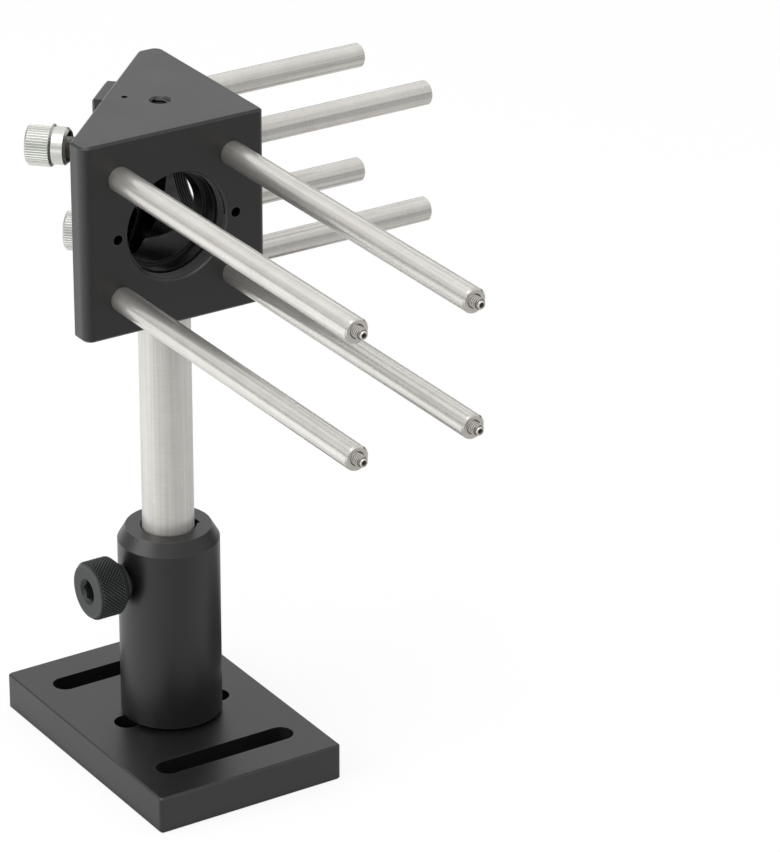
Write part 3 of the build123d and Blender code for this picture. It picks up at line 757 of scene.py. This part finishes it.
class MOUNT_OT_thumbscrew(bpy.types.Operator):
    """Model the holder's thumbscrew with its diamond knurl and hex socket"""

    bl_idname = "mount.thumbscrew"
    bl_label = "Thumbscrew"

    def execute(self, context):
        knurl = context.scene.mount_knurl
        outer = (THUMB_HIGH.z - THUMB_LOW.z) / 2
        root = outer - knurl.height
        back_edge, front_edge = 1.2 * MM, 0.5 * MM
        collar_start = 13 * MM
        collar_length, collar_radius, collar_edge = 1.6 * MM, 4.75 * MM, 0.3 * MM
        stem_radius, stem_edge = 3.0 * MM, 0.4 * MM
        overlap = 0.6 * MM
        knob_start = collar_start + collar_length
        knob_end = -THUMB_LOW.x
        stem_end = -THUMB_HIGH.x
        band = (knob_start + back_edge, knob_end - front_edge)
        knob = self.knurled_band(knurl, root, band)
        self.close_band(knob, root, band, knob_start, knob_end, back_edge, front_edge)
        sink_depth, sink_radius, mouth_radius = 1.5 * MM, 1.8 * MM, 3.9 * MM
        countersink = turned("socket_countersink", (
            (sink_radius, knob_end - sink_depth), (mouth_radius, knob_end + overlap)), 48)
        applied(knob, "BOOLEAN", operation="DIFFERENCE", object=countersink, solver="EXACT")
        bpy.data.objects.remove(countersink)
        socket_flats, socket_depth, socket_edge = 4.76 * MM, 4.0 * MM, 0.05 * MM
        hex_cut(knob, socket_flats, knob_end, socket_depth, socket_edge)
        stem = turned("thumb_stem", (
            (stem_radius - stem_edge, stem_end), (stem_radius, stem_end + stem_edge),
            (stem_radius, collar_start - 0.2 * MM),
            (collar_radius - collar_edge, collar_start),
            (collar_radius, collar_start + collar_edge), (collar_radius, knob_start + overlap)), 64)
        bore_radius, bore_end = 1.65 * MM, 9.65 * MM
        bore = turned("tip_bore", ((bore_radius, 0), (bore_radius, bore_end)), 32)
        applied(stem, "BOOLEAN", operation="DIFFERENCE", object=bore, solver="EXACT")
        bpy.data.objects.remove(bore)
        ridge_root, ridge_height, ridge_pitch = 2.95 * MM, 0.2 * MM, 1.27 * MM
        ridge_length = collar_start - stem_end - 0.3 * MM
        ridge = thread_ridge("thumb_ridge", ridge_root, ridge_height, ridge_pitch, ridge_length)
        ridge.data.transform(Matrix.Translation((0, 0, stem_end + 0.1 * MM)))
        screw = joined("knurled_thumbscrew", knob, stem, ridge)
        stood(screw, (0, 0, CLAMP_HEIGHT), (-1, 0, 0))
        smoothed(screw, 20)
        paint(knurled_black("blackened_knurl", outer / MM), screw)
        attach(screw, "thumbscrew")
        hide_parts("clamp_thumbscrew")
        return {"FINISHED"}

    def knurled_band(self, knurl, root, band):
        """An open band of diamonds, every second ring turned half a step."""
        low, high = band
        bpy.ops.object.select_all(action="DESELECT")
        bpy.ops.mesh.primitive_cylinder_add(
            vertices=knurl.around, radius=root, depth=high - low, end_fill_type="NOTHING",
            location=(0, 0, (low + high) / 2))
        piece = bpy.context.object
        bpy.ops.object.transform_apply(location=True, rotation=True, scale=True)
        bpy.ops.object.mode_set(mode="EDIT")
        level = 0.1 * MM
        choose(piece, lambda a, b: abs(a.z - b.z) > level, "EDGE")
        bpy.ops.mesh.subdivide(number_cuts=knurl.rows - 1)
        step = (high - low) / knurl.rows
        choose(piece, lambda co: round((co.z - low) / step) % 2 == 1, "VERT")
        bpy.ops.transform.rotate(
            value=pi / knurl.around, orient_axis="Z", center_override=(0, 0, 0))
        bpy.ops.mesh.select_all(action="SELECT")
        bpy.ops.mesh.quads_convert_to_tris(quad_method="SHORTEST_DIAGONAL")
        margin = 0.3 * step
        choose(piece, lambda a, b: (
            abs(a.z - b.z) < margin and low + margin < a.z < high - margin), "EDGE")
        bpy.ops.mesh.dissolve_edges(use_verts=False)
        bpy.ops.mesh.select_all(action="SELECT")
        bpy.ops.mesh.normals_make_consistent(inside=False)
        end_room = 0.8 * step
        choose(piece, lambda centre: low + end_room < centre.z < high - end_room)
        bpy.ops.mesh.poke(offset=knurl.height)
        bpy.ops.object.mode_set(mode="OBJECT")
        return piece

    def close_band(self, piece, root, band, knob_start, knob_end, back_edge, front_edge):
        """Taper both ends of the band in and close them."""
        near = 0.01 * MM
        picked(piece)
        bpy.ops.object.mode_set(mode="EDIT")
        for edge_at, end, inset in (
            (band[0], knob_start, back_edge), (band[1], knob_end, front_edge * 0.8),
        ):
            choose(piece, lambda a, b: (
                abs(a.z - edge_at) < near and abs(b.z - edge_at) < near), "EDGE")
            bpy.ops.mesh.extrude_edges_move(
                TRANSFORM_OT_translate={"value": (0, 0, end - edge_at)})
            shrink = (root - inset) / root
            bpy.ops.transform.resize(value=(shrink, shrink, 1), center_override=(0, 0, end))
            bpy.ops.mesh.edge_face_add()
        bpy.ops.mesh.select_all(action="SELECT")
        bpy.ops.mesh.normals_make_consistent(inside=False)
        bpy.ops.object.mode_set(mode="OBJECT")


class MOUNT_OT_springs(bpy.types.Operator):
    """Wind the two springs that hold the carriage on its ball and screws"""

    bl_idname = "mount.springs"
    bl_label = "Springs"

    def execute(self, context):
        wire = 0.45 * MM
        outer_radius = 1.8 * MM
        coil_radius = 1.575 * MM
        eye_radius = 1.07 * MM
        steel = plain_metal("spring_wire", (0.42, 0.41, 0.4), roughness=0.25)
        for place in ("upper", "lower"):
            node = f"tension_spring_{place}"
            low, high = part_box(node)
            centre = (low + high) / 2
            spread = (high - low).x - 2 * outer_radius / sqrt(2)
            length = spread * sqrt(2)
            bpy.ops.object.select_all(action="DESELECT")
            bpy.ops.mesh.primitive_circle_add(
                vertices=10, radius=wire / 2, fill_type="NOTHING",
                location=(coil_radius, 0, wire * 1.5), rotation=(pi / 2, 0, 0))
            coil = bpy.context.object
            bpy.ops.object.transform_apply(location=True, rotation=True, scale=True)
            turns = int((length - 3 * wire) / wire)
            applied(
                coil, "SCREW", axis="Z", angle=2 * pi, screw_offset=wire, iterations=turns,
                steps=28, render_steps=28)
            bpy.ops.object.mode_set(mode="EDIT")
            bpy.ops.mesh.select_all(action="SELECT")
            bpy.ops.mesh.fill_holes(sides=0)
            bpy.ops.mesh.normals_make_consistent(inside=False)
            bpy.ops.object.mode_set(mode="OBJECT")
            eyes = []
            for height in (wire / 2, length - wire / 2):
                bpy.ops.mesh.primitive_torus_add(
                    major_radius=eye_radius, minor_radius=wire / 2, major_segments=24,
                    minor_segments=10, location=(0, 0, height))
                eyes.append(bpy.context.object)
            spring = joined(f"coil_spring_{place}", coil, *eyes)
            foot = centre - OUT_OF_BACK * length / 2
            stood(spring, foot, OUT_OF_BACK)
            smoothed(spring, 60)
            paint(steel, spring)
            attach(spring, "head")
            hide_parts(node)
        return {"FINISHED"}


class MOUNT_OT_finishes(bpy.types.Operator):
    """Give every CAD piece its finish"""

    bl_idname = "mount.finishes"
    bl_label = "Finishes"

    def execute(self, context):
        colours = context.scene.mount_colours
        sizes = context.scene.mount_threads
        paint(anodised("anodised_housing", bores=True), "housing")
        paint(anodised("anodised_black"), "base_plate", "post_holder", "mirror_carriage")
        paint(
            ground_steel("ground_front_rods", "Y", ends=True),
            "front_rod_upper_left", "front_rod_upper_right",
            "front_rod_lower_left", "front_rod_lower_right")
        paint(
            ground_steel("ground_side_rods", "X"),
            "side_rod_upper_front", "side_rod_upper_back",
            "side_rod_lower_front", "side_rod_lower_back")
        paint(ground_steel("ground_post", "Z", haze=0.68, hazy_metallic=0.4), "post")
        for knob in ("adjuster_knob_upper", "adjuster_knob_lower"):
            paint(toothed_nickel(f"nickel_{knob}", knob), knob)
        paint(
            plain_metal("brass", colours.brass, roughness=0.25),
            "adjuster_bushing_upper", "adjuster_bushing_lower", "clamp_tip")
        paint(
            fine_threaded(
                "adjuster_steel", (0.6, 0.59, 0.56), roughness=0.22,
                pitch=sizes.adjuster_pitch / MM),
            "adjuster_screw_upper", "adjuster_screw_lower")
        paint(
            plain_metal("polished_balls", (0.75, 0.75, 0.74), roughness=0.06, grain_depth=0.001),
            "pivot_ball", "adjuster_ball_upper", "adjuster_ball_lower",
            "adjuster_seat_upper", "adjuster_seat_lower")
        paint(
            plain_metal("spring_pegs", (0.5, 0.49, 0.46), roughness=0.3),
            "spring_anchors", "spring_caps")
        paint(
            plain_metal("dark_screws", (0.07, 0.07, 0.072), roughness=0.35, grain_depth=0.01),
            "base_cap_screw", "mirror_lock_screw", "post_stud", "rod_root_studs")
        paint(silvered_glass("silvered_mirror"), "mirror")
        paint(
            plain_metal("plain_steel", (0.5, 0.49, 0.47), roughness=0.3),
            "clamp_thumbscrew", "rod_end_studs", "tension_spring_upper", "tension_spring_lower")
        return {"FINISHED"}


class MOUNT_OT_studio(bpy.types.Operator):
    """Set up the floor, the soft lights, the white surround and the camera"""

    bl_idname = "mount.studio"
    bl_label = "Studio"

    def execute(self, context):
        studio = context.scene.mount_studio
        self.add_floor(studio)
        self.light_surround(context.scene, studio)
        self.add_softbox(
            "key_softbox", place=(-0.35, -0.35, 1.3), size=1.1, power=studio.key_power)
        self.add_softbox(
            "side_softbox", place=(-1.1, 0.1, 0.55), size=0.9, power=studio.side_power)
        lens = bpy.data.cameras.new("camera")
        lens.lens = studio.lens
        lens.sensor_width = 36
        lens.clip_start, lens.clip_end = 0.05, 50
        camera = bpy.data.objects.new("camera", lens)
        context.scene.collection.objects.link(camera)
        aim = Euler((pi / 2 - studio.elevation, 0, studio.azimuth)).to_matrix()
        aim = aim @ Matrix.Rotation(studio.roll, 3, "Z")
        camera.matrix_world = Matrix.Translation(studio.camera_place) @ aim.to_4x4()
        context.scene.camera = camera
        context.scene.view_settings.view_transform = "Standard"
        return {"FINISHED"}

    def add_floor(self, studio):
        """A pale floor that keeps the shadow; in reflections it shows painted light and shade:
        paler to the left, darker near the front, a painted shadow under the base plate and a
        painted reflection of a second mount where one stood.
        """
        bpy.ops.object.select_all(action="DESELECT")
        bpy.ops.mesh.primitive_plane_add(size=8, location=(0, 0, 0))
        floor = bpy.context.object
        floor.name = floor.data.name = "studio_floor"
        material, shader = new_shader("studio_floor")
        seen, mirrored, through = self.ray_kinds(shader)
        x, y, _ = shader.axes(shader.place())
        right, away = camera_ways(x, y)
        # Painted reflection of a second mount's base and column, darker in what mirrors see
        painted_second_base = x.above(42, 8) * x.below(108, 8) * y.above(-42, 8) * y.below(38, 8)
        painted_second_column = x.above(70, 60) * x.below(190, 60) * abs(y).below(22, 30)
        low, high = (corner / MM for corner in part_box("base_plate"))
        # Painted shadow under the base plate, for what mirrors see
        painted_shadow_under_base = x.above(low.x, 4) * x.below(high.x, 4) * y.above(low.y, 4) * y.below(high.y, 4)
        # Painted light to the left and near left, painted shade near the front, for what mirrors
        # see
        left = 0.3 * right.below(-60, 200) + 0.2 * right.below(-110, 120)
        painted_light_near_left = 0.5 * right.below(-280, 120) * away.below(0, 150)
        near = 0.4 * away.below(-70, 160)
        tone = (0.85 + left + painted_light_near_left - near - 0.9 * painted_second_base - 0.45 * painted_second_column) * (1 - painted_shadow_under_base)
        mirrored_tone = mirrored * tone.math("MAXIMUM", tone, 0)
        matt = shader.node(
            "ShaderNodeBsdfDiffuse", values={"Color": opaque(studio.floor_colour)})
        glow = shader.node("ShaderNodeEmission", values={
            "Color": (1, 1, 1, 1), "Strength": (seen + through) * 1.05 + mirrored_tone})
        mix = shader.node("ShaderNodeMixShader", values=(
            (seen + through) * 0.8 + mirrored * 0.85, matt, glow))
        shader.node("ShaderNodeOutputMaterial", values=(mix,))
        paint(material, floor)

    def ray_kinds(self, shader):
        """Whether the camera, a reflection or a transparent surface is looking."""
        path = shader.node("ShaderNodeLightPath").socket.node.outputs
        return (
            Value(shader, path["Is Camera Ray"]), Value(shader, path["Is Glossy Ray"]),
            Value(shader, path["Is Transmission Ray"]))

    def light_surround(self, scene, studio):
        """White where it is seen; mirrored bright low at the back and dark at the horizon."""
        world = bpy.data.worlds.new("studio_surround")
        scene.world = world
        shader = Shader(world)
        seen, mirrored, through = self.ray_kinds(shader)
        x, y, z = shader.axes(shader.node("ShaderNodeTexCoord", output="Generated"))
        right, away = camera_ways(x, y)
        horizon = abs(z - 0.12).below(0.08, 0.03)
        behind = away.above(0.3, 0.5) * right.above(-0.2, 0.2)
        glare = abs(z - 0.32).below(0.09, 0.07) * behind
        high_behind = z.above(0.45, 0.06) * behind
        overhead = z.above(0.54, 0.05) * away.above(0.2, 0.4)
        shaded = right.above(0.25, 0.35) * away.above(0.1, 0.6) * z.below(0.4, 0.3)
        bright = 0.72 * glare + 0.4 * overhead
        dark = 0.5 * horizon + 0.5 * shaded + 0.14 * high_behind
        tone = 0.79 + bright - dark
        strength = (
            (seen + through).math("MINIMUM", seen + through, 1)
            + (1 - seen) * (1 - through) * (mirrored * tone + (1 - mirrored) * studio.ambient))
        glow = shader.node(
            "ShaderNodeBackground", values={"Color": (1, 1, 1, 1), "Strength": strength})
        shader.node("ShaderNodeOutputWorld", values=(glow,))

    def add_softbox(self, name, place, size, power):
        """A square area lamp aimed at the middle of the object."""
        lamp = bpy.data.lights.new(name, "AREA")
        lamp.energy = power
        lamp.size = size
        holder = bpy.data.objects.new(name, lamp)
        bpy.context.scene.collection.objects.link(holder)
        middle = Vector((0, 0, 0.09))
        aim = (middle - Vector(place)).to_track_quat("-Z", "Y")
        holder.matrix_world = Matrix.Translation(place) @ aim.to_matrix().to_4x4()


class MOUNT_PT_panel(bpy.types.Panel):
    """The steps of building the mirror mount"""

    bl_idname = "MOUNT_PT_panel"
    bl_label = "Mirror mount"
    bl_space_type = "VIEW_3D"
    bl_region_type = "UI"
    bl_category = "Mirror mount"

    def draw(self, context):
        for step in STEPS:
            self.layout.operator(step.bl_idname)


STEPS = (
    MOUNT_OT_finishes,
    MOUNT_OT_port_threads,
    MOUNT_OT_rod_end_studs,
    MOUNT_OT_thumbscrew,
    MOUNT_OT_springs,
    MOUNT_OT_studio,
)
GROUPS = {
    "mount_threads": ThreadSizes,
    "mount_knurl": KnurlSizes,
    "mount_colours": FinishColours,
    "mount_studio": StudioSettings,
}


def register():
    """Register the settings, the steps and the panel."""
    for name, group in GROUPS.items():
        bpy.utils.register_class(group)
        setattr(bpy.types.Scene, name, PointerProperty(type=group))
    for step in STEPS:
        bpy.utils.register_class(step)
    bpy.utils.register_class(MOUNT_PT_panel)


def unregister():
    """Take them out again."""
    bpy.utils.unregister_class(MOUNT_PT_panel)
    for step in reversed(STEPS):
        bpy.utils.unregister_class(step)
    for name, group in reversed(GROUPS.items()):
        delattr(bpy.types.Scene, name)
        bpy.utils.unregister_class(group)


def main():
    """Build everything."""
    register()
    bpy.ops.mount.finishes()
    bpy.ops.mount.port_threads()
    bpy.ops.mount.rod_end_studs()
    bpy.ops.mount.thumbscrew()
    bpy.ops.mount.springs()
    bpy.ops.mount.studio()


if __name__ == "__main__":
    main()
